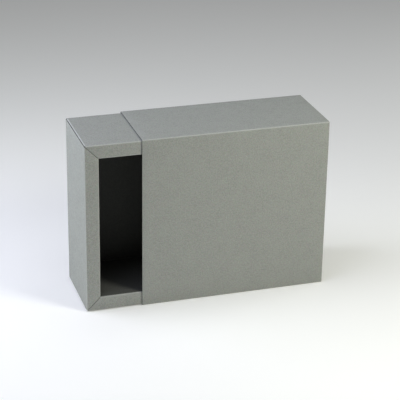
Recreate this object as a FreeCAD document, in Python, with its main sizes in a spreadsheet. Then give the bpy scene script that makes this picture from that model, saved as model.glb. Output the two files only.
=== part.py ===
import FreeCAD, Part
import math
import os
import Sketcher
from FreeCAD import Placement, Rotation, Vector

# Slide box of solid grey board: a wrap-round sleeve, open at both ends, and a tray with hollow
# double walls, lined with black card.  The sleeve stands on its bottom panel; +X runs along the
# slide, -Y is the front, where the tray is open, and +Z is up.  The origin is the centre of the
# sleeve's bottom face.  Each board panel between two creases is one sub-part.

doc = FreeCAD.newDocument("slide_box")

# ---------------------------------------------------------------- driving dimensions, millimetres
sizes = doc.addObject("Spreadsheet::Sheet", "Sizes")
DIMENSIONS = [
    ("sleeve_width", 168.0),        # along the slide
    ("sleeve_depth", 72.5),         # front to back
    ("sleeve_height", 155.0),
    ("board", 0.6),                 # grey board thickness
    ("crease_inside", 0.4),         # inside radius of every crease
    ("slide_gap", 0.3),             # tray to sleeve, at the front, the top and the glue flap
    ("rest_gap", 0.15),             # tray to the sleeve's bottom panel
    ("end_inset", 0.5),             # closed tray's ends behind the sleeve's ends
    ("tray_draw", 50.0),            # how far the tray is drawn out, towards -X
    ("rim_width", 12.3),            # tray wall thickness over both skins
    ("seam_gap", 0.1),              # between cut edges and faces that meet at a seam
    ("end_wall_trim", 0.4),         # left and right walls' cut edges short of the top and bottom faces
    ("mitre_gap", 0.15),            # off each rim and foot flap along its mitre
    ("glue_film", 0.1),             # thickness of dried adhesive
    ("glue_margin", 1.5),           # adhesive to the flap's edges
    ("flap_width", 18.0),           # sleeve glue flap
    ("flap_clip", 6.0),             # cut off the glue flap's free corners
    ("back_edge_lift", 0.3),        # back panel's cut edge above the base
    ("tab_length", 20.0),           # corner tabs inside the hollow walls
    ("tab_inset", 1.5),             # corner tabs behind the folds of the base and the rim
    ("tab_clip", 5.0),
    ("foot_width", 15.0),           # flaps that hold the inner walls to the base panel
    ("lining", 0.3),                # black card thickness
    ("lining_gap", 0.1),            # between the lining's cut edges
]
for row, (alias, number) in enumerate(DIMENSIONS, start=1):
    sizes.set(f"A{row}", alias)
    sizes.set(f"B{row}", str(number))
    sizes.setAlias(f"B{row}", alias)

derived = doc.addObject("Spreadsheet::Sheet", "Derived")
FORMULAS = [
    ("crease", "Sizes.crease_inside + Sizes.board"),
    ("bend_reach", "Sizes.crease_inside * (1 - cos(45 deg))"),
    ("back_inside", "Sizes.sleeve_depth / 2 - Sizes.board - Sizes.glue_film"),
    ("tray_length", "Sizes.sleeve_width - 2 * Sizes.end_inset"),
    ("tray_height", "Sizes.sleeve_height - 2 * Sizes.board - Sizes.rest_gap - Sizes.slide_gap"),
    ("tray_front", "Sizes.board + Sizes.slide_gap - Sizes.sleeve_depth / 2"),
    ("tray_back", "back_inside - Sizes.board - Sizes.slide_gap"),
    ("tray_depth", "tray_back - tray_front"),
    ("tray_x", "-Sizes.tray_draw"),
    ("tray_z", "Sizes.board + Sizes.rest_gap + tray_height / 2"),
    ("span_between_ends", "tray_length - 2 * Sizes.board - 2 * Sizes.seam_gap"),
    ("tab_height", "tray_depth - 2 * Sizes.tab_inset"),
    ("cavity_length", "tray_length - 2 * Sizes.rim_width"),
    ("cavity_height", "tray_height - 2 * Sizes.rim_width"),
    ("inner_wall_run", "tray_depth - Sizes.board - Sizes.glue_film"),
    ("inner_wall_shortening", "2 * (bend_reach + Sizes.seam_gap)"),
    ("foot_face", "tray_back - 2 * Sizes.board - Sizes.glue_film"),
    ("lining_face", "foot_face - Sizes.lining"),
    ("lining_run", "inner_wall_run - 2 * crease"),
]
for row, (alias, formula) in enumerate(FORMULAS, start=1):
    derived.set(f"A{row}", alias)
    derived.set(f"B{row}", "=" + formula)
    derived.setAlias(f"B{row}", alias)
doc.recompute()

# What an end of a panel's section looks like: cut square, half a crease that turns away from the
# outer face, or half a crease that turns towards it.
CUT, CREASE, REVERSE = "cut", "crease", "reverse"
EIGHTH_TURN = math.radians(45)

LEFT, RIGHT = Vector(-1, 0, 0), Vector(1, 0, 0)
FRONT, BACK = Vector(0, -1, 0), Vector(0, 1, 0)
DOWN, UP = Vector(0, 0, -1), Vector(0, 0, 1)

sub_parts = []


def value(expression):
    """The number that an expression of the sheets' aliases gives now."""
    result = sizes.evalExpression(expression)
    return float(getattr(result, "Value", result))


def new_body(label, corner, run_direction, facing):
    """A body whose X runs across the creases, Y leaves the outer face and Z follows the creases."""
    body = doc.addObject("PartDesign::Body", label)
    body.Label = label
    turn = Rotation(run_direction, facing, run_direction.cross(facing), "XYZ")
    body.Placement = Placement(Vector(), turn)
    for axis, expression in zip("xyz", corner):
        body.setExpression(f"Placement.Base.{axis}", expression)
    sub_parts.append(body)
    return body


def origin_plane(body, role):
    return next(plane for plane in body.Origin.OriginFeatures if plane.Role == role)


def new_sketch(body, name, role):
    sketch = body.newObject("Sketcher::SketchObject", name)
    sketch.AttachmentSupport = (origin_plane(body, role), "")
    sketch.MapMode = "FlatFace"
    return sketch


def bind(sketch, name, kind, *arguments):
    """Adds a dimension whose last argument is an expression, and keeps it tied to the sheets."""
    *places, expression = arguments
    index = sketch.addConstraint(Sketcher.Constraint(kind, *places, value(expression)))
    sketch.renameConstraint(index, name)
    sketch.setExpression(f"Constraints.{name}", expression)


def draw_end(sketch, style, at_end, corner_u, thickness, outer_line, inner_line):
    """Closes one end of a section; its corner_u is where the two panels' outlines would cross."""
    side = 1 if at_end else -1
    face_end = 2 if at_end else 1
    depth = value(thickness)
    if style == CUT:
        cut = sketch.addGeometry(Part.LineSegment(Vector(corner_u, -depth, 0), Vector(corner_u, 0, 0)))
        sketch.addConstraint([
            Sketcher.Constraint("Coincident", cut, 1, inner_line, face_end),
            Sketcher.Constraint("Coincident", cut, 2, outer_line, face_end),
            Sketcher.Constraint("Vertical", cut),
        ])
        return
    radius = value("Derived.crease")
    small = radius - depth
    turns_away = style == CREASE
    centre = Vector(corner_u - side * radius, -radius if turns_away else small, 0)
    upright = 90 if turns_away else 270
    leaning = upright - 45 if (side == 1) == turns_away else upright + 45
    first, last = sorted((math.radians(upright), math.radians(leaning)))
    face_point, mitre_point = (2, 1) if leaning < upright else (1, 2)

    def arc(arc_radius):
        circle = Part.Circle(centre, Vector(0, 0, 1), arc_radius)
        return sketch.addGeometry(Part.ArcOfCircle(circle, first, last))

    outer_arc = arc(radius if turns_away else small)
    inner_arc = arc(small if turns_away else radius)
    lean = Vector(math.cos(math.radians(leaning)), math.sin(math.radians(leaning)), 0)
    mitre_ends = [centre + lean * small, centre + lean * radius]
    if not turns_away:
        mitre_ends.reverse()
    mitre = sketch.addGeometry(Part.LineSegment(*mitre_ends))
    sketch.addConstraint([
        Sketcher.Constraint("Coincident", outer_arc, 3, inner_arc, 3),
        Sketcher.Constraint("Tangent", outer_arc, face_point, outer_line, face_end),
        Sketcher.Constraint("Tangent", inner_arc, face_point, inner_line, face_end),
        Sketcher.Constraint("Coincident", mitre, 1, inner_arc, mitre_point),
        Sketcher.Constraint("Coincident", mitre, 2, outer_arc, mitre_point),
        Sketcher.Constraint("PointOnObject", outer_arc, 3, mitre),
        Sketcher.Constraint("Angle", mitre, EIGHTH_TURN if (side == 1) == turns_away else 3 * EIGHTH_TURN),
    ])
    name = "end_radius" if at_end else "start_radius"
    bind(sketch, name, "Radius", outer_arc if turns_away else inner_arc, "Derived.crease")


def add_strip(body, name, run, width, ends, thickness="Sizes.board", turned_at=None):
    """Pads a section that runs from the corner along X, or along Z where it is turned at an X."""
    sketch = new_sketch(body, f"{body.Label}_{name}_section", "XY_Plane")
    if turned_at:
        sketch.AttachmentOffset = Placement(Vector(), Rotation(Vector(0, 1, 0), -90))
        sketch.setExpression("AttachmentOffset.Base.x", turned_at)
        sketch.setExpression("AttachmentOffset.Base.z", f"-({run}) / 2")
    start_inset, end_inset = ["0" if style == CUT else "Derived.crease" for style in ends]
    start = value(start_inset)
    stop = value(f"{run} - {end_inset}")
    depth = value(thickness)
    outer_line = sketch.addGeometry(Part.LineSegment(Vector(start, 0, 0), Vector(stop, 0, 0)))
    inner_line = sketch.addGeometry(Part.LineSegment(Vector(start, -depth, 0), Vector(stop, -depth, 0)))
    sketch.addConstraint([
        Sketcher.Constraint("PointOnObject", outer_line, 2, -1),
        Sketcher.Constraint("Horizontal", inner_line),
    ])
    if ends[0] == CUT:
        sketch.addConstraint(Sketcher.Constraint("Coincident", outer_line, 1, -1, 1))
    else:
        sketch.addConstraint(Sketcher.Constraint("PointOnObject", outer_line, 1, -1))
        bind(sketch, "start_inset", "DistanceX", -1, 1, outer_line, 1, start_inset)
    bind(sketch, "face_end", "DistanceX", -1, 1, outer_line, 2, f"{run} - {end_inset}")
    bind(sketch, "thickness", "DistanceY", inner_line, 1, outer_line, 1, thickness)
    draw_end(sketch, ends[0], False, 0.0, thickness, outer_line, inner_line)
    draw_end(sketch, ends[1], True, value(run), thickness, outer_line, inner_line)
    pad = body.newObject("PartDesign::Pad", f"{body.Label}_{name}_pad")
    pad.Profile = sketch
    pad.Midplane = True
    pad.setExpression("Length", width)
    return pad


def clip_corners(body, run, width, leg):
    """Cuts the two corners at a panel's far end at 45 degrees, leg measured along each edge."""
    margin = "Derived.crease"
    reach = value(f"{run} + {margin}")
    half = value(f"({width}) / 2 + {margin}")
    long_leg = value(f"{leg} + 2 * {margin}")
    sketch = new_sketch(body, f"{body.Label}_corners", "XZ_Plane")
    triangles = []
    for side in (1, -1):
        points = [
            Vector(reach, side * half, 0),
            Vector(reach - long_leg, side * half, 0),
            Vector(reach, side * (half - long_leg), 0),
        ]
        lines = [sketch.addGeometry(Part.LineSegment(points[i], points[(i + 1) % 3])) for i in range(3)]
        for i in range(3):
            sketch.addConstraint(Sketcher.Constraint("Coincident", lines[i], 2, lines[(i + 1) % 3], 1))
        triangles.append(lines)
    upper, lower = triangles
    sketch.addConstraint([
        Sketcher.Constraint("Horizontal", upper[0]),
        Sketcher.Constraint("Vertical", upper[2]),
        Sketcher.Constraint("Equal", upper[0], upper[2]),
    ])
    for upper_line, lower_line in zip(upper, lower):
        sketch.addConstraint(Sketcher.Constraint("Symmetric", upper_line, 1, lower_line, 1, -1))
    bind(sketch, "reach", "DistanceX", -1, 1, upper[0], 1, f"{run} + {margin}")
    bind(sketch, "half_width", "DistanceY", -1, 1, upper[0], 1, f"({width}) / 2 + {margin}")
    bind(sketch, "leg", "DistanceX", upper[0], 2, upper[0], 1, f"{leg} + 2 * {margin}")
    pocket = body.newObject("PartDesign::Pocket", f"{body.Label}_corner_cut")
    pocket.Profile = sketch
    pocket.Type = "ThroughAll"
    pocket.Midplane = True


def panel(label, corner, directions, run, width, ends, thickness="Sizes.board"):
    """A flat panel: corner is its start, on the outer face, half way along the creases."""
    body = new_body(label, corner, *directions)
    add_strip(body, "panel", run, width, ends, thickness)
    return body


# ---------------------------------------------------------------- sleeve
SLEEVE_FRONT = "-Sizes.sleeve_depth / 2"
SLEEVE_BACK = "Sizes.sleeve_depth / 2"
SLEEVE_TOP = "Sizes.sleeve_height"
SLEEVE_LENGTH = "Sizes.sleeve_width"


def build_sleeve():
    """Back, top, front and bottom panels in one wrap, and the flap that closes it inside the back."""
    panel("sleeve_front_panel", ("0", SLEEVE_FRONT, "0"), (UP, FRONT),
          "Sizes.sleeve_height", SLEEVE_LENGTH, (CREASE, CREASE))
    panel("sleeve_top_panel", ("0", SLEEVE_FRONT, SLEEVE_TOP), (BACK, UP),
          "Sizes.sleeve_depth", SLEEVE_LENGTH, (CREASE, CREASE))
    panel("sleeve_back_panel", ("0", SLEEVE_BACK, SLEEVE_TOP), (DOWN, BACK),
          "Sizes.sleeve_height - Sizes.back_edge_lift", SLEEVE_LENGTH, (CREASE, CUT))
    panel("sleeve_bottom_panel", ("0", SLEEVE_FRONT, "0"), (BACK, DOWN),
          "Sizes.sleeve_depth / 2 + Derived.back_inside", SLEEVE_LENGTH, (CREASE, CREASE))
    flap = panel("sleeve_glue_flap", ("0", "Derived.back_inside", "0"), (UP, BACK),
                 "Sizes.flap_width", SLEEVE_LENGTH, (CREASE, CUT))
    clip_corners(flap, "Sizes.flap_width", SLEEVE_LENGTH, "Sizes.flap_clip")
    # The adhesive stays inside the flap's straight part and its clipped corners.
    panel("sleeve_seam_adhesive",
          ("0", "Derived.back_inside + Sizes.glue_film", "Derived.crease + Sizes.glue_margin"), (UP, BACK),
          "Sizes.flap_width - Derived.crease - 2 * Sizes.glue_margin",
          "Sizes.sleeve_width - 2 * Sizes.flap_clip - 2 * Sizes.glue_margin",
          (CUT, CUT), "Sizes.glue_film")


# ---------------------------------------------------------------- tray
class Side:
    """One wall of the tray: which way it faces, and its lengths as expressions."""

    def __init__(self, name, outward, across, outer_length, cavity_length):
        self.name = name
        self.outward = outward
        self.inward = outward * -1
        self.across = across                    # tray's size along the outward direction
        self.outer_length = outer_length        # tray's size along the wall
        self.cavity_length = cavity_length

    def place(self, inset, depth):
        """A point on the wall's middle line, inset from its outer face, at a depth along Y."""
        reach = f"({self.across} / 2 - ({inset}))"
        return (f"Derived.tray_x + {self.outward.x:.0f} * {reach}", depth,
                f"Derived.tray_z + {self.outward.z:.0f} * {reach}")


END_WALLS = [
    Side(name, outward, "Derived.tray_length", "Derived.tray_height", "Derived.cavity_height")
    for name, outward in (("left", LEFT), ("right", RIGHT))
]
LONG_WALLS = [
    Side(name, outward, "Derived.tray_height", "Derived.tray_length", "Derived.cavity_length")
    for name, outward in (("top", UP), ("bottom", DOWN))
]


def build_base():
    """The base panel: two crossing strips, so that it ends in a half crease on all four sides."""
    body = new_body("tray_base_panel", ("Derived.tray_x - Derived.tray_length / 2", "Derived.tray_back",
                                        "Derived.tray_z"), RIGHT, BACK)
    add_strip(body, "long", "Derived.tray_length", "Derived.tray_height - 2 * Derived.crease",
              (CREASE, CREASE))
    add_strip(body, "tall", "Derived.tray_height", "Derived.tray_length - 2 * Derived.crease",
              (CREASE, CREASE), turned_at="Derived.tray_length / 2")


def build_end_outer_wall(side):
    """Left and right outer walls cover the corner tabs, and their cut edges show."""
    panel(f"tray_{side.name}_outer_wall", side.place("0", "Derived.tray_back"), (FRONT, side.outward),
          "Derived.tray_depth", f"{side.outer_length} - 2 * Sizes.end_wall_trim", (CREASE, CREASE))


def build_long_outer_wall(side):
    """Top and bottom outer walls lie between the end walls and carry a corner tab at each end."""
    body = new_body(f"tray_{side.name}_outer_wall", side.place("0", "Derived.tray_back"),
                    FRONT, side.outward)
    add_strip(body, "wall", "Derived.tray_depth", "Derived.span_between_ends - 2 * Derived.crease",
              (CREASE, CREASE))
    add_strip(body, "tab_creases", "Derived.span_between_ends", "Derived.tab_height",
              (CREASE, CREASE), turned_at="Derived.tray_depth / 2")
    for end in END_WALLS:
        tab_x = f"Derived.tray_x + {end.outward.x:.0f} * Derived.span_between_ends / 2"
        tab_z = side.place("0", "0")[2]
        tab = panel(f"tray_{side.name}_{end.name}_corner_tab",
                    (tab_x, "Derived.tray_front + Derived.tray_depth / 2", tab_z),
                    (side.inward, end.outward), "Sizes.tab_length", "Derived.tab_height", (CREASE, CUT))
        clip_corners(tab, "Sizes.tab_length", "Derived.tab_height", "Sizes.tab_clip")


def build_rim_and_inner_wall(side):
    """The rim, the inner wall and the foot flap that follow an outer wall round the hollow."""
    rim = panel(f"tray_{side.name}_rim", side.place("0", "Derived.tray_front"), (side.inward, FRONT),
                "Sizes.rim_width", side.outer_length, (CREASE, CREASE))
    clip_corners(rim, "Sizes.rim_width", side.outer_length, "Sizes.rim_width + Sizes.mitre_gap")
    panel(f"tray_{side.name}_inner_wall", side.place("Sizes.rim_width", "Derived.tray_front"),
          (BACK, side.inward), "Derived.inner_wall_run",
          f"{side.cavity_length} - Derived.inner_wall_shortening", (CREASE, REVERSE))
    foot_start = "Sizes.rim_width - Sizes.board"
    foot_length = f"{side.cavity_length} + 2 * Sizes.board"
    foot = panel(f"tray_{side.name}_foot_flap", side.place(foot_start, "Derived.foot_face"),
                 (side.inward, FRONT), "Sizes.foot_width", foot_length, (REVERSE, CUT))
    clip_corners(foot, "Sizes.foot_width", foot_length, "Sizes.foot_width + Sizes.mitre_gap")
    # The adhesive fills the film's gap between the foot flap's straight part and the base panel.
    glue_start = f"{foot_start} + Derived.crease + Sizes.glue_margin"
    panel(f"tray_{side.name}_foot_adhesive",
          side.place(glue_start, "Derived.foot_face + Sizes.board"), (side.inward, FRONT),
          "Sizes.foot_width - Derived.crease - 2 * Sizes.glue_margin",
          f"{side.cavity_length} - 2 * Sizes.foot_width", (CUT, CUT), "Sizes.glue_film")


def build_lining():
    """Black card over the floor and the inner walls, from the rim's inner crease to the foot's."""
    panel("lining_floor",
          ("Derived.tray_x - Derived.cavity_length / 2 + Sizes.crease_inside", "Derived.lining_face",
           "Derived.tray_z"), (RIGHT, FRONT),
          "Derived.cavity_length - 2 * Sizes.crease_inside",
          "Derived.cavity_height - 2 * Sizes.crease_inside", (CUT, CUT), "Sizes.lining")
    for side in LONG_WALLS + END_WALLS:
        end_allowance = "Sizes.lining_gap" if side in LONG_WALLS else "(Sizes.lining + Sizes.lining_gap)"
        panel(f"lining_{side.name}_wall",
              side.place("Sizes.rim_width + Sizes.lining", "Derived.tray_front + Derived.crease"),
              (BACK, side.inward), "Derived.lining_run",
              f"{side.cavity_length} - 2 * {end_allowance}", (CUT, CUT), "Sizes.lining")


build_sleeve()
build_base()
for wall in END_WALLS:
    build_end_outer_wall(wall)
for wall in LONG_WALLS:
    build_long_outer_wall(wall)
for wall in END_WALLS + LONG_WALLS:
    build_rim_and_inner_wall(wall)
build_lining()

# ---------------------------------------------------------------- checks and files
doc.recompute()
failed = [item.Name for item in doc.Objects if {"Invalid", "Error"} & set(item.State)]
if failed:
    raise RuntimeError("failed objects: " + ", ".join(failed))
for body in sub_parts:
    if body.Shape.isNull() or not body.Shape.isValid() or len(body.Shape.Solids) != 1:
        raise RuntimeError("bad shape: " + body.Label)
loose = [item.Name for item in doc.Objects
         if item.TypeId == "Sketcher::SketchObject" and not item.FullyConstrained]
if loose:
    raise RuntimeError("sketches not fully constrained: " + ", ".join(loose))

os.makedirs("parts", exist_ok=True)
for body in sub_parts:
    body.Shape.exportStep(f"parts/{body.Label}.step")
    print(f"{body.Label}: {body.Shape.Volume:.1f} mm3")
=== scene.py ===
import math
import bpy
import bmesh
from mathutils import Matrix, Vector


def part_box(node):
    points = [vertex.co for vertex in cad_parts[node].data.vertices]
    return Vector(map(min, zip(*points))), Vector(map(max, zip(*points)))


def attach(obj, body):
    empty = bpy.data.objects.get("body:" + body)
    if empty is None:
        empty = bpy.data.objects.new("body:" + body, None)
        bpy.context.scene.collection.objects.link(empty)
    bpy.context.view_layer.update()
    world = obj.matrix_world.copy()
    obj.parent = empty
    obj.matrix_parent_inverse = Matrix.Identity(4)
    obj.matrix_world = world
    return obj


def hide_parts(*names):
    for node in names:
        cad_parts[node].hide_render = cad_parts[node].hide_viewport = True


# A matchbox-style archival box of solid grey board: a wrap-round sleeve, and a tray with hollow
# double walls and a black card lining.  +X runs along the slide, -Y is the front, +Z is up.
# Each folded sheet is one piece: stations are laid along its section, a strip of faces joins them,
# and the strip is then given the board's thickness.

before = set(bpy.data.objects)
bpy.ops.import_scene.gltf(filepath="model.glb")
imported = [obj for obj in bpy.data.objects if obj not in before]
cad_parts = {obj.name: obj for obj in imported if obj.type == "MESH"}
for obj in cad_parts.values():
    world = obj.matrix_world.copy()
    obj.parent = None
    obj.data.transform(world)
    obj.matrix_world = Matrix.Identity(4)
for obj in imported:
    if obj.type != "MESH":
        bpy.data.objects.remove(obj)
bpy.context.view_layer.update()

MM = 0.001
X, Y, Z = Vector((1, 0, 0)), Vector((0, 1, 0)), Vector((0, 0, 1))


# ---------------------------------------------------------------- sizes, read from the frame
def low(node):
    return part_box(node)[0]


def high(node):
    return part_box(node)[1]


sleeve_low = Vector((low("sleeve_front_panel").x, low("sleeve_front_panel").y,
                     low("sleeve_bottom_panel").z))
sleeve_high = Vector((high("sleeve_front_panel").x, high("sleeve_back_panel").y,
                      high("sleeve_top_panel").z))
tray_low = Vector((low("tray_left_outer_wall").x, low("tray_left_rim").y,
                   low("tray_bottom_outer_wall").z))
tray_high = Vector((high("tray_right_outer_wall").x, high("tray_base_panel").y,
                    high("tray_top_outer_wall").z))
tray_size = tray_high - tray_low
tray_middle = (tray_low + tray_high) / 2

board = sleeve_high.y - high("sleeve_seam_adhesive").y
card = high("lining_floor").y - low("lining_floor").y
crease = low("lining_left_wall").y - tray_low.y          # outside radius of a crease
crease_inside = crease - board
rim_width = low("lining_left_wall").x - tray_low.x
foot_face = high("lining_floor").y                       # front of the foot flaps, under the floor card
foot_length = high("tray_left_foot_flap").x - low("tray_left_foot_flap").x
tab_zone = (low("tray_top_left_corner_tab").y, high("tray_top_left_corner_tab").y)
tab_length = tray_high.z - low("tray_top_left_corner_tab").z
tab_face = low("tray_top_left_corner_tab").x - tray_low.x    # how far a tab is behind the end wall
end_wall_trim = tray_high.z - high("tray_left_outer_wall").z
flap_face = high("sleeve_glue_flap").y

TAB_CLIP = 5 * MM           # length over which a corner tab's end is clipped
FLAP_CLIP = 6 * MM          # and the glue flap's
MITRE_GAP = 0.22 * MM       # each rim's cut end, short of the mitre
WALL_GAP = 0.1 * MM         # each inner wall's cut end, short of its neighbour
EASE = 0.3                  # share of a crease's radius left between a fold and the next panel

CREASE_STEPS = 8            # facets round a quarter turn
CELL = 8 * MM               # length of a flat panel's mesh cells
CUT_BEVEL = 0.09 * MM       # softening of the die-cut edges
CUT_ANGLE = math.radians(60)        # an edge sharper than this is a cut, and is softened
SHARP_ANGLE = math.radians(24)      # the shading breaks at an edge sharper than this
WELD = 0.002 * MM           # corners closer than this are one

COLOUR_MIX = {"data_type": "RGBA"}
MULTIPLIED = {"data_type": "RGBA", "blend_type": "MULTIPLY"}
OVERLAID = {"data_type": "RGBA", "blend_type": "OVERLAY"}
CREASE_WEAR_AND_HIGHLIGHT = 3.6           # the larger, the less a crease is rubbed and given its painted highlight
CORNER_WEAR_AND_HIGHLIGHT = 1.7           # the creases at the tray's corners rub against the sleeve, and get a stronger painted highlight
NO_WEAR_OR_HIGHLIGHT = 0.0               # a crease that is covered: neither rubbed nor given a painted highlight
# cell and radius in mm, share of cells with a fleck, its colour, and a shift of its pattern in metres
FLECKS = ((20, 0.42, 0.3, "#3c3d3b", (0, 0, 0)),
          (14, 0.40, 0.3, "#b4b6b0", (0.031, 0.017, 0.023)))


# ---------------------------------------------------------------- materials
def colour(hex_text):
    """An sRGB hex value as the linear colour that the shader takes."""
    channels = [int(hex_text[i:i + 2], 16) / 255 for i in (1, 3, 5)]
    linear = [c / 12.92 if c <= 0.04045 else ((c + 0.055) / 1.055) ** 2.4 for c in channels]
    return (*linear, 1.0)


def add_node(tree, kind, settings=None, **inputs):
    """Adds a node, sets its properties, and gives each named input a value or links a socket to it.

    An underscore stands for a space in an input's name, and i6 is input number 6."""
    node = tree.nodes.new(kind)
    for name, setting in (settings or {}).items():
        setattr(node, name, setting)
    for name, given in inputs.items():
        key = name.replace("_", " ")
        socket = node.inputs[int(name[1:])] if name[0] == "i" and name[1:].isdigit() else node.inputs[key]
        if isinstance(given, bpy.types.NodeSocket):
            tree.links.new(given, socket)
        else:
            socket.default_value = given
    return node


def new_material(name):
    material = bpy.data.materials.new(name)
    material.use_nodes = True
    material.node_tree.nodes.clear()
    return material, material.node_tree


def per_metre(millimetres):
    """The texture scale that makes a pattern's features about this many millimetres across."""
    return 1 / (millimetres * MM)


def grey_board():
    """Solid grey board, machine-made from recycled fibre and calendered dull: an even grey, mottled
    where the fibre lies thicker, speckled with fibres of other colours and a few dark or light
    flecks, and lighter along each crease, where handling rubs it and a painted highlight is laid over the
    rub."""
    material, tree = new_material("grey_board")
    place = add_node(tree, "ShaderNodeTexCoord").outputs["Object"]

    # Fibre lies in clouds about 11 mm across, and clumps of 2.6 mm within them.
    cloud = add_node(tree, "ShaderNodeTexNoise", Vector=place, Scale=per_metre(11), Detail=2, Roughness=0.55)
    cloudy = add_node(tree, "ShaderNodeMapRange", Value=cloud.outputs[0], From_Min=0.35, From_Max=0.65)
    clump = add_node(tree, "ShaderNodeTexNoise", Vector=place, Scale=per_metre(2.6), Detail=3, Roughness=0.55)
    clumped = add_node(tree, "ShaderNodeMapRange", Value=clump.outputs[0], From_Min=0.3, From_Max=0.7)
    tone = add_node(tree, "ShaderNodeMix", COLOUR_MIX, i0=cloudy.outputs[0],
                    i6=colour("#939690"), i7=colour("#999c96")).outputs[2]
    tone = add_node(tree, "ShaderNodeMix", COLOUR_MIX, i0=clumped.outputs[0],
                    i6=tone, i7=colour("#9d9f9a")).outputs[2]

    # Real fibre grain is finer; 1.1 mm is the finest that still shows at this distance.
    grain = add_node(tree, "ShaderNodeTexNoise", Vector=place, Scale=per_metre(1.1), Detail=2, Roughness=0.7)
    grainy = add_node(tree, "ShaderNodeMapRange", Value=grain.outputs[0], From_Min=0.25, From_Max=0.75,
                      To_Min=0.8, To_Max=1.2)
    tone = add_node(tree, "ShaderNodeMix", MULTIPLIED, i0=1.0, i6=tone, i7=grainy.outputs[0]).outputs[2]
    dyed = add_node(tree, "ShaderNodeTexNoise", Vector=place, Scale=per_metre(1.0), Detail=2, Roughness=0.7)
    tone = add_node(tree, "ShaderNodeMix", OVERLAID, i0=0.17, i6=tone, i7=dyed.outputs["Color"]).outputs[2]

    # Flecks: the middles of scattered cells, of which only a share has one.
    for cell, radius, share, fleck, shift in FLECKS:
        moved = add_node(tree, "ShaderNodeMapping", Vector=place, Location=shift)
        cells = add_node(tree, "ShaderNodeTexVoronoi", Vector=moved.outputs[0], Scale=per_metre(cell))
        near = add_node(tree, "ShaderNodeMapRange", Value=cells.outputs["Distance"],
                        From_Min=radius / cell, From_Max=0.6 * radius / cell)
        lot = add_node(tree, "ShaderNodeSeparateColor", Color=cells.outputs["Color"])
        chosen = add_node(tree, "ShaderNodeMapRange", Value=lot.outputs[0],
                          From_Min=1 - share, From_Max=1.02 - share)
        shown = add_node(tree, "ShaderNodeMath", {"operation": "MULTIPLY"},
                         i0=near.outputs[0], i1=chosen.outputs[0])
        tone = add_node(tree, "ShaderNodeMix", COLOUR_MIX, i0=shown.outputs[0],
                        i6=tone, i7=colour(fleck)).outputs[2]

    # Handling rubs the folds lighter; the mix towards near-white is also a painted highlight along each fold.
    crease_rub_and_highlight = add_node(tree, "ShaderNodeAttribute", {"attribute_name": "crease"})
    rub_and_highlight = add_node(tree, "ShaderNodeMapRange", Value=crease_rub_and_highlight.outputs["Fac"], From_Max=CREASE_WEAR_AND_HIGHLIGHT)
    tone = add_node(tree, "ShaderNodeMix", COLOUR_MIX, i0=rub_and_highlight.outputs[0],
                    i6=tone, i7=colour("#e4e6e2")).outputs[2]

    # The clumps are a little rougher than the calendered board between them.
    dull = add_node(tree, "ShaderNodeMapRange", Value=clump.outputs[0], From_Min=0.3, From_Max=0.7,
                    To_Min=0.84, To_Max=0.92)
    # The board's tooth, drawn at 0.8 mm for the same reason.
    tooth = add_node(tree, "ShaderNodeTexNoise", Vector=place, Scale=per_metre(0.8), Detail=4, Roughness=0.6)
    bump = add_node(tree, "ShaderNodeBump", Strength=0.35, Distance=0.05 * MM, Height=tooth.outputs[0])
    shader = add_node(tree, "ShaderNodeBsdfPrincipled", Base_Color=tone, Roughness=dull.outputs[0],
                      Normal=bump.outputs[0], IOR=1.5)
    add_node(tree, "ShaderNodeOutputMaterial", Surface=shader.outputs[0])
    return material


def cut_edge_with_painted_shade():
    """The die-cut edge of the same board: torn fibre in layers, a darker grey than its faces, and darkened
    much further as painted shade for the shadowed gaps and grooves beside each cut edge.
    """
    material, tree = new_material("cut_edge_with_painted_shade")
    place = add_node(tree, "ShaderNodeTexCoord").outputs["Object"]
    fibre = add_node(tree, "ShaderNodeTexNoise", Vector=place, Scale=per_metre(0.5), Detail=4, Roughness=0.7)
    torn = add_node(tree, "ShaderNodeMapRange", Value=fibre.outputs[0], From_Min=0.3, From_Max=0.7)
    # Painted shade: these greys are darkened to stand in for the shadow in the narrow gaps beside the cut
    # edges.
    tone = add_node(tree, "ShaderNodeMix", COLOUR_MIX, i0=torn.outputs[0],
                    i6=colour("#343532"), i7=colour("#444642"))
    dull = add_node(tree, "ShaderNodeMapRange", Value=fibre.outputs[0], To_Min=0.9, To_Max=1.0)
    bump = add_node(tree, "ShaderNodeBump", Strength=0.6, Distance=0.08 * MM, Height=fibre.outputs[0])
    shader = add_node(tree, "ShaderNodeBsdfPrincipled", Base_Color=tone.outputs[2],
                      Roughness=dull.outputs[0], Normal=bump.outputs[0], IOR=1.5)
    add_node(tree, "ShaderNodeOutputMaterial", Surface=shader.outputs[0])
    return material


def black_card():
    """Black-dyed card, uncoated: nearly black, with a faint fibre grain that the light picks up."""
    material, tree = new_material("black_card")
    place = add_node(tree, "ShaderNodeTexCoord").outputs["Object"]
    # Real fibre is finer; 1.2 mm is the finest that still shows at this distance.
    fibre = add_node(tree, "ShaderNodeTexNoise", Vector=place, Scale=per_metre(1.2), Detail=3, Roughness=0.55)
    faded = add_node(tree, "ShaderNodeMapRange", Value=fibre.outputs[0], From_Min=0.3, From_Max=0.7)
    tone = add_node(tree, "ShaderNodeMix", COLOUR_MIX, i0=faded.outputs[0],
                    i6=colour("#4e4f4c"), i7=colour("#5a5b57"))
    dull = add_node(tree, "ShaderNodeMapRange", Value=fibre.outputs[0], To_Min=0.8, To_Max=0.9)
    bump = add_node(tree, "ShaderNodeBump", Strength=0.4, Distance=0.05 * MM, Height=fibre.outputs[0])
    shader = add_node(tree, "ShaderNodeBsdfPrincipled", Base_Color=tone.outputs[2],
                      Roughness=dull.outputs[0], Normal=bump.outputs[0], IOR=1.5)
    add_node(tree, "ShaderNodeOutputMaterial", Surface=shader.outputs[0])
    return material


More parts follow.
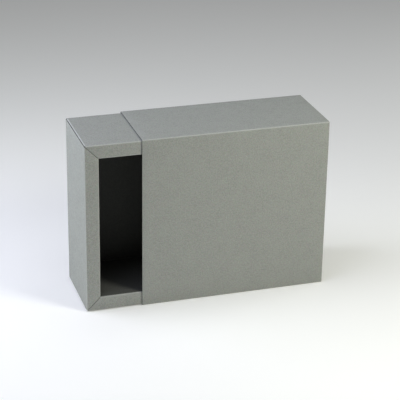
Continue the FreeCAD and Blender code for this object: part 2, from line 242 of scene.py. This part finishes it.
def dried_adhesive():
    """White craft adhesive, dried to a clear cream film: smooth and a little uneven."""
    material, tree = new_material("dried_adhesive")
    place = add_node(tree, "ShaderNodeTexCoord").outputs["Object"]
    swirl = add_node(tree, "ShaderNodeTexNoise", Vector=place, Scale=per_metre(3), Detail=2, Roughness=0.55)
    thick = add_node(tree, "ShaderNodeMapRange", Value=swirl.outputs[0], From_Min=0.3, From_Max=0.7)
    tone = add_node(tree, "ShaderNodeMix", COLOUR_MIX, i0=thick.outputs[0],
                    i6=colour("#cfc7ac"), i7=colour("#ddd6bf"))
    sheen = add_node(tree, "ShaderNodeMapRange", Value=swirl.outputs[0], To_Min=0.35, To_Max=0.45)
    bump = add_node(tree, "ShaderNodeBump", Strength=0.3, Distance=0.04 * MM, Height=swirl.outputs[0])
    shader = add_node(tree, "ShaderNodeBsdfPrincipled", Base_Color=tone.outputs[2],
                      Roughness=sheen.outputs[0], Normal=bump.outputs[0], IOR=1.47)
    add_node(tree, "ShaderNodeOutputMaterial", Surface=shader.outputs[0])
    return material


def studio_paper():
    """White background paper: matt, with a grain too faint to see.  A dim light table under it keeps
    the sweep as pale near the box as away from it."""
    material, tree = new_material("studio_paper")
    place = add_node(tree, "ShaderNodeTexCoord").outputs["Object"]
    grain = add_node(tree, "ShaderNodeTexNoise", Vector=place, Scale=per_metre(4), Detail=2, Roughness=0.55)
    tone = add_node(tree, "ShaderNodeMix", COLOUR_MIX, i0=grain.outputs[0],
                    i6=colour("#fafaf8"), i7=colour("#fcfcfa"))
    bump = add_node(tree, "ShaderNodeBump", Strength=0.05, Distance=0.02 * MM, Height=grain.outputs[0])
    shader = add_node(tree, "ShaderNodeBsdfPrincipled", Base_Color=tone.outputs[2], Roughness=0.9,
                      Normal=bump.outputs[0], IOR=1.5,
                      Emission_Color=(1, 1, 1, 1), Emission_Strength=PAPER_GLOW)
    add_node(tree, "ShaderNodeOutputMaterial", Surface=shader.outputs[0])
    return material


BOARD_FINISH = [grey_board(), cut_edge_with_painted_shade()]
CARD_FINISH = [black_card()]
ADHESIVE_FINISH = dried_adhesive()


# ---------------------------------------------------------------- folded board
class Station:
    """One line across a folded strip: its place in the fold's section, and where the strip ends."""

    def __init__(self, out, along, half_width, rub_and_highlight=0.0):
        self.out = out                  # towards the wall's outward side
        self.along = along              # along the section's second axis
        self.half_width = half_width    # half the strip's width there
        self.rub_and_highlight = rub_and_highlight            # 0 on a flat, and the crease's wear and painted highlight in its middle


def flat(start, end, start_width, end_width):
    """Stations along a flat panel, in even cells, both ends included."""
    length = math.hypot(end[0] - start[0], end[1] - start[1])
    cells = max(1, round(length / CELL))
    stations = []
    for i in range(cells + 1):
        share = i / cells
        stations.append(Station(start[0] + (end[0] - start[0]) * share,
                                start[1] + (end[1] - start[1]) * share,
                                start_width + (end_width - start_width) * share))
    return stations


def turn(centre, radius, start_degrees, end_degrees, start_width, end_width, wear_and_highlight=1.0):
    """Stations round a crease, without the two lines where the flats begin."""
    stations = []
    # Each station holds the crease's rub and painted highlight, strongest mid-fold.
    for i in range(1, CREASE_STEPS):
        share = i / CREASE_STEPS
        angle = math.radians(start_degrees + (end_degrees - start_degrees) * share)
        stations.append(Station(centre[0] + radius * math.cos(angle),
                                centre[1] + radius * math.sin(angle),
                                start_width + (end_width - start_width) * share,
                                wear_and_highlight * math.sin(math.pi * share)))
    return stations


def lay_strip(mesh, stations, origin, out_axis, along_axis, width_axis, columns):
    """Adds a strip of faces through the stations, that many columns wide."""
    # The crease layer holds each vertex's rub and painted highlight.
    rub_and_highlight_layer = mesh.verts.layers.float["crease"]
    rows = []
    for station in stations:
        middle = origin + out_axis * station.out + along_axis * station.along
        row = []
        for i in range(columns + 1):
            across = (2 * i / columns - 1) * station.half_width
            vertex = mesh.verts.new(middle + width_axis * across)
            vertex[rub_and_highlight_layer] = station.rub_and_highlight
            row.append(vertex)
        rows.append(row)
    for first, second in zip(rows, rows[1:]):
        for i in range(columns):
            mesh.faces.new((first[i], first[i + 1], second[i + 1], second[i]))


def sheet_piece(name, mesh, thickness, materials, outward_point):
    """Turns an open sheet into board of real thickness with softened cut edges.

    outward_point lies outside the fold, so the nearest face has to look towards it."""
    bmesh.ops.remove_doubles(mesh, verts=mesh.verts, dist=WELD)
    bmesh.ops.recalc_face_normals(mesh, faces=mesh.faces)
    probe = min(mesh.faces, key=lambda face: (face.calc_center_median() - outward_point).length)
    if probe.normal.dot(outward_point - probe.calc_center_median()) < 0:
        bmesh.ops.reverse_faces(mesh, faces=mesh.faces)
    data = bpy.data.meshes.new(name)
    mesh.to_mesh(data)
    mesh.free()
    piece = bpy.data.objects.new(name, data)
    bpy.context.scene.collection.objects.link(piece)
    for material in materials:
        data.materials.append(material)
    thicken = piece.modifiers.new("board", "SOLIDIFY")
    thicken.thickness = thickness
    thicken.offset = -1
    thicken.use_even_offset = True
    thicken.material_offset_rim = len(materials) - 1
    soften = piece.modifiers.new("cut_edges", "BEVEL")
    soften.width = min(CUT_BEVEL, thickness / 5)
    soften.segments = 2
    soften.limit_method = "ANGLE"
    soften.angle_limit = CUT_ANGLE
    piece.data = bpy.data.meshes.new_from_object(piece.evaluated_get(bpy.context.evaluated_depsgraph_get()))
    piece.data.name = name
    piece.modifiers.clear()
    piece.data.shade_smooth()
    piece.data.set_sharp_from_angle(angle=SHARP_ANGLE)
    return piece


def new_sheet():
    mesh = bmesh.new()
    # Per-vertex rub and painted highlight along the folds.
    mesh.verts.layers.float.new("crease")
    return mesh


# ---------------------------------------------------------------- sleeve
def build_sleeve():
    """One wrap: up the back, over the top, down the front, along the base and up the glue flap."""
    half = (sleeve_high.x - sleeve_low.x) / 2
    front, back, top = sleeve_low.y, sleeve_high.y, sleeve_high.z
    lower_edge = low("sleeve_back_panel").z
    flap_top = high("sleeve_glue_flap").z
    c = crease
    stations = flat((back, lower_edge), (back, top - c), half, half)
    stations += turn((back - c, top - c), c, 0, 90, half, half)
    stations += flat((back - c, top), (front + c, top), half, half)
    stations += turn((front + c, top - c), c, 90, 180, half, half)
    stations += flat((front, top - c), (front, c), half, half)
    stations += turn((front + c, c), c, 180, 270, half, half)
    stations += flat((front + c, 0), (flap_face - c, 0), half, half)
    stations += turn((flap_face - c, c), c, 270, 360, half, half, NO_WEAR_OR_HIGHLIGHT)
    stations += flat((flap_face, c), (flap_face, flap_top - FLAP_CLIP), half, half)
    stations += flat((flap_face, flap_top - FLAP_CLIP), (flap_face, flap_top), half, half - FLAP_CLIP)[1:]
    mesh = new_sheet()
    lay_strip(mesh, stations, X * ((sleeve_low.x + sleeve_high.x) / 2), Y, Z, X, round(2 * half / CELL))
    above = Vector((0, 0, top + 1))
    piece = sheet_piece("sleeve_wrap", mesh, board, BOARD_FINISH, above)
    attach(piece, "sleeve")
    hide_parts("sleeve_back_panel", "sleeve_top_panel", "sleeve_front_panel",
                "sleeve_bottom_panel", "sleeve_glue_flap")


# ---------------------------------------------------------------- tray
SIDES = {       # outward, width axis, distance of the wall and half its length, from the tray's middle
    "left": (-X, Z, tray_size.x / 2, tray_size.z / 2),
    "right": (X, Z, tray_size.x / 2, tray_size.z / 2),
    "top": (Z, X, tray_size.z / 2, tray_size.x / 2),
    "bottom": (-Z, X, tray_size.z / 2, tray_size.x / 2),
}


def wall_stations(reach, half, wall_half, flare):
    """Base crease, outer wall, rim, inner wall and foot flap, from the base panel outwards.

    reach is the wall's distance from the tray's middle, and half is half the tray's length along it.
    The outer wall's ends are at wall_half, and at flare where they pass a corner tab."""
    front, back = tray_low.y, tray_high.y
    c, inner = crease, reach - rim_width
    cavity_half = half - rim_width
    foot_end = inner + board - foot_length - EASE * crease
    inner_half = cavity_half - EASE * crease_inside - WALL_GAP
    rim_half = half - MITRE_GAP
    foot_start = inner - crease_inside
    foot_half = cavity_half - crease_inside - MITRE_GAP
    stations = turn((reach - c, back - c), c, 90, 0, half - c, flare)
    stations += [Station(reach, back - c, flare)]
    stations += flat((reach, tab_zone[1]), (reach, tab_zone[0]), wall_half, wall_half)
    stations += [Station(reach, front + c, flare)]
    stations += turn((reach - c, front + c), c, 0, -90, flare, rim_half - c)
    stations += flat((reach - c, front), (inner + c, front), rim_half - c, rim_half - rim_width + c)
    stations += turn((inner + c, front + c), c, 270, 180, rim_half - rim_width + c, inner_half)
    stations += flat((inner, front + c), (inner, foot_face - crease_inside), inner_half, inner_half)
    stations += turn((foot_start, foot_face - crease_inside), crease_inside, 0, 90,
                     inner_half, foot_half, NO_WEAR_OR_HIGHLIGHT)
    stations += flat((foot_start, foot_face), (foot_end, foot_face), foot_half,
                     foot_half - (foot_start - foot_end))
    return stations


def tab_stations(reach, end_face):
    """A corner tab, from the long wall's end round its crease and down behind the end wall."""
    half = (tab_zone[1] - tab_zone[0]) / 2
    c = crease
    last = reach - tab_length
    # The tab's crease is given the corners' stronger rub and painted highlight.
    stations = turn((end_face - c, reach - c), c, 90, 0, half, half, CORNER_WEAR_AND_HIGHLIGHT)
    stations += flat((end_face, reach - c), (end_face, last + TAB_CLIP), half, half)
    stations += flat((end_face, last + TAB_CLIP), (end_face, last), half, half - TAB_CLIP)[1:]
    return stations


def build_tray_blank():
    """The tray's cross-shaped blank, folded up: base, four hollow walls and four corner tabs."""
    mesh = new_sheet()
    middle = Vector((tray_middle.x, 0, tray_middle.z))
    base_half = Vector((tray_size.x / 2 - crease, 0, tray_size.z / 2 - crease))
    columns = {"left": round(2 * base_half.z / CELL), "top": round(2 * base_half.x / CELL)}
    columns["right"], columns["bottom"] = columns["left"], columns["top"]
    base = [Station(-base_half.z + 2 * base_half.z * i / columns["left"], tray_high.y, base_half.x)
            for i in range(columns["left"] + 1)]
    lay_strip(mesh, base, middle, Z, Y, X, columns["top"])
    zone_middle = (tab_zone[0] + tab_zone[1]) / 2
    for name, (outward, width_axis, reach, half) in SIDES.items():
        long_wall = name in ("top", "bottom")
        wall_half = half - tab_face - crease if long_wall else half - end_wall_trim
        flare = half - tab_face - EASE * crease if long_wall else wall_half
        edge = Station(reach - crease, tray_high.y, half - crease)
        stations = [edge] + wall_stations(reach, half, wall_half, flare)
        lay_strip(mesh, stations, middle, outward, Y, width_axis, columns[name])
        if not long_wall:
            continue
        for end in (-1, 1):
            cells = max(1, round((tab_zone[1] - tab_zone[0]) / CELL))
            edge = Station(wall_half, reach, (tab_zone[1] - tab_zone[0]) / 2)
            tab = [edge] + tab_stations(reach, half - tab_face)
            lay_strip(mesh, tab, middle + Y * zone_middle, X * end, outward, Y, cells)
    left_of_tray = Vector((tray_low.x - 1, tray_middle.y, tray_middle.z))
    piece = sheet_piece("tray_blank", mesh, board, BOARD_FINISH, left_of_tray)
    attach(piece, "tray")
    made = [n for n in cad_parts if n.startswith("tray_") and not n.endswith("adhesive")]
    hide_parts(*made)


def build_lining():
    """Five cut cards of black lining, each laid where its solid is."""
    for name in ("floor", "left_wall", "right_wall", "top_wall", "bottom_wall"):
        node = "lining_" + name
        card_low, card_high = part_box(node)
        size = card_high - card_low
        thin = min(range(3), key=lambda i: size[i])
        wide, tall = [axis for i, axis in enumerate((X, Y, Z)) if i != thin]
        face = (card_low + card_high) / 2
        inward = Vector((0, 0, 0))
        inward[thin] = 1 if face[thin] < tray_middle[thin] else -1
        face = face + inward * (card / 2)
        half_wide, half_tall = size.dot(wide) / 2, size.dot(tall) / 2
        stations = flat((-half_tall, 0), (half_tall, 0), half_wide, half_wide)
        mesh = new_sheet()
        lay_strip(mesh, stations, face, tall, inward, wide, max(1, round(2 * half_wide / CELL)))
        piece = sheet_piece(node + "_card", mesh, card, CARD_FINISH, face + inward)
        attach(piece, "tray")
        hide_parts(node)


build_sleeve()
build_tray_blank()
build_lining()
for node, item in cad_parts.items():
    if node.endswith("adhesive"):
        item.data.materials.clear()
        item.data.materials.append(ADHESIVE_FINISH)


# ---------------------------------------------------------------- stage, lights and camera
# name, azimuth and elevation in degrees, distance and size in metres, watts, tint
LAMPS = (("window", -105, 30, 0.5, 0.3, 0.86, (0.76, 0.745, 0.97)),
         ("left_reflector", -100, 15, 0.9, 0.45, 2.30, (0.904, 1.0, 0.887)),
         ("left_overhead", -70, 60, 0.8, 0.5, 1.38, (0.768, 0.790, 1.0)),
         ("right_lamp", 38, 36, 0.7, 0.2, 2.19, (1.0, 0.991, 0.868)),
         ("overhead", 0, 88, 1.0, 0.8, 2.32, (0.914, 0.974, 1.0)),
         ("right_fill", 105, 10, 1.1, 0.3, 1.3, (1.0, 1.0, 0.97)))
LIT_POINT = Vector((-0.02, 0, 0.07))    # about the middle of the box with its tray drawn out
ROOM_LIGHT = 0.1
PAPER_GLOW = 0.1
FLOOR_HALF = 3.0            # half the paper's side, in metres


def build_floor():
    """A wide sweep of pale paper."""
    mesh = bmesh.new()
    bmesh.ops.create_grid(mesh, x_segments=8, y_segments=8, size=FLOOR_HALF)
    data = bpy.data.meshes.new("studio_floor")
    mesh.to_mesh(data)
    mesh.free()
    data.materials.append(studio_paper())
    floor = bpy.data.objects.new("studio_floor", data)
    bpy.context.scene.collection.objects.link(floor)


def softbox(name, azimuth, elevation, distance, size, watts, tint):
    """A square light aimed at the box; azimuth 0 is in front of it, and 90 on its right."""
    lamp = bpy.data.lights.new(name, "AREA")
    lamp.size = size
    lamp.energy = watts
    lamp.color = tint
    around, up = math.radians(azimuth), math.radians(elevation)
    away = Vector((math.sin(around) * math.cos(up), -math.cos(around) * math.cos(up), math.sin(up)))
    item = bpy.data.objects.new(name, lamp)
    item.location = LIT_POINT + away * distance
    item.rotation_euler = away.to_track_quat("Z", "Y").to_euler()
    item.visible_camera = False
    bpy.context.scene.collection.objects.link(item)


def light_the_stage():
    for values in LAMPS:
        softbox(*values)
    world = bpy.data.worlds.new("room")
    world.use_nodes = True
    background = world.node_tree.nodes["Background"]
    background.inputs["Color"].default_value = (1.0, 1.0, 1.0, 1.0)
    background.inputs["Strength"].default_value = ROOM_LIGHT
    bpy.context.scene.world = world


def place_camera():
    """A long lens a little over a metre away, left of the box and above it."""
    place = Vector((-0.38536, -1.14310, 0.60371))
    yaw, pitch, roll = (math.radians(a) for a in (17.674, 23.659, 0.904))
    lens = bpy.data.cameras.new("camera")
    lens.sensor_width = 36
    lens.lens = 132.9
    item = bpy.data.objects.new("camera", lens)
    turned = Matrix.Rotation(-yaw, 4, "Z") @ Matrix.Rotation(math.pi / 2 - pitch, 4, "X")
    item.matrix_world = Matrix.Translation(place) @ turned @ Matrix.Rotation(roll, 4, "Z")
    bpy.context.scene.collection.objects.link(item)
    bpy.context.scene.camera = item


build_floor()
light_the_stage()
place_camera()
bpy.context.scene.view_settings.view_transform = "Standard"
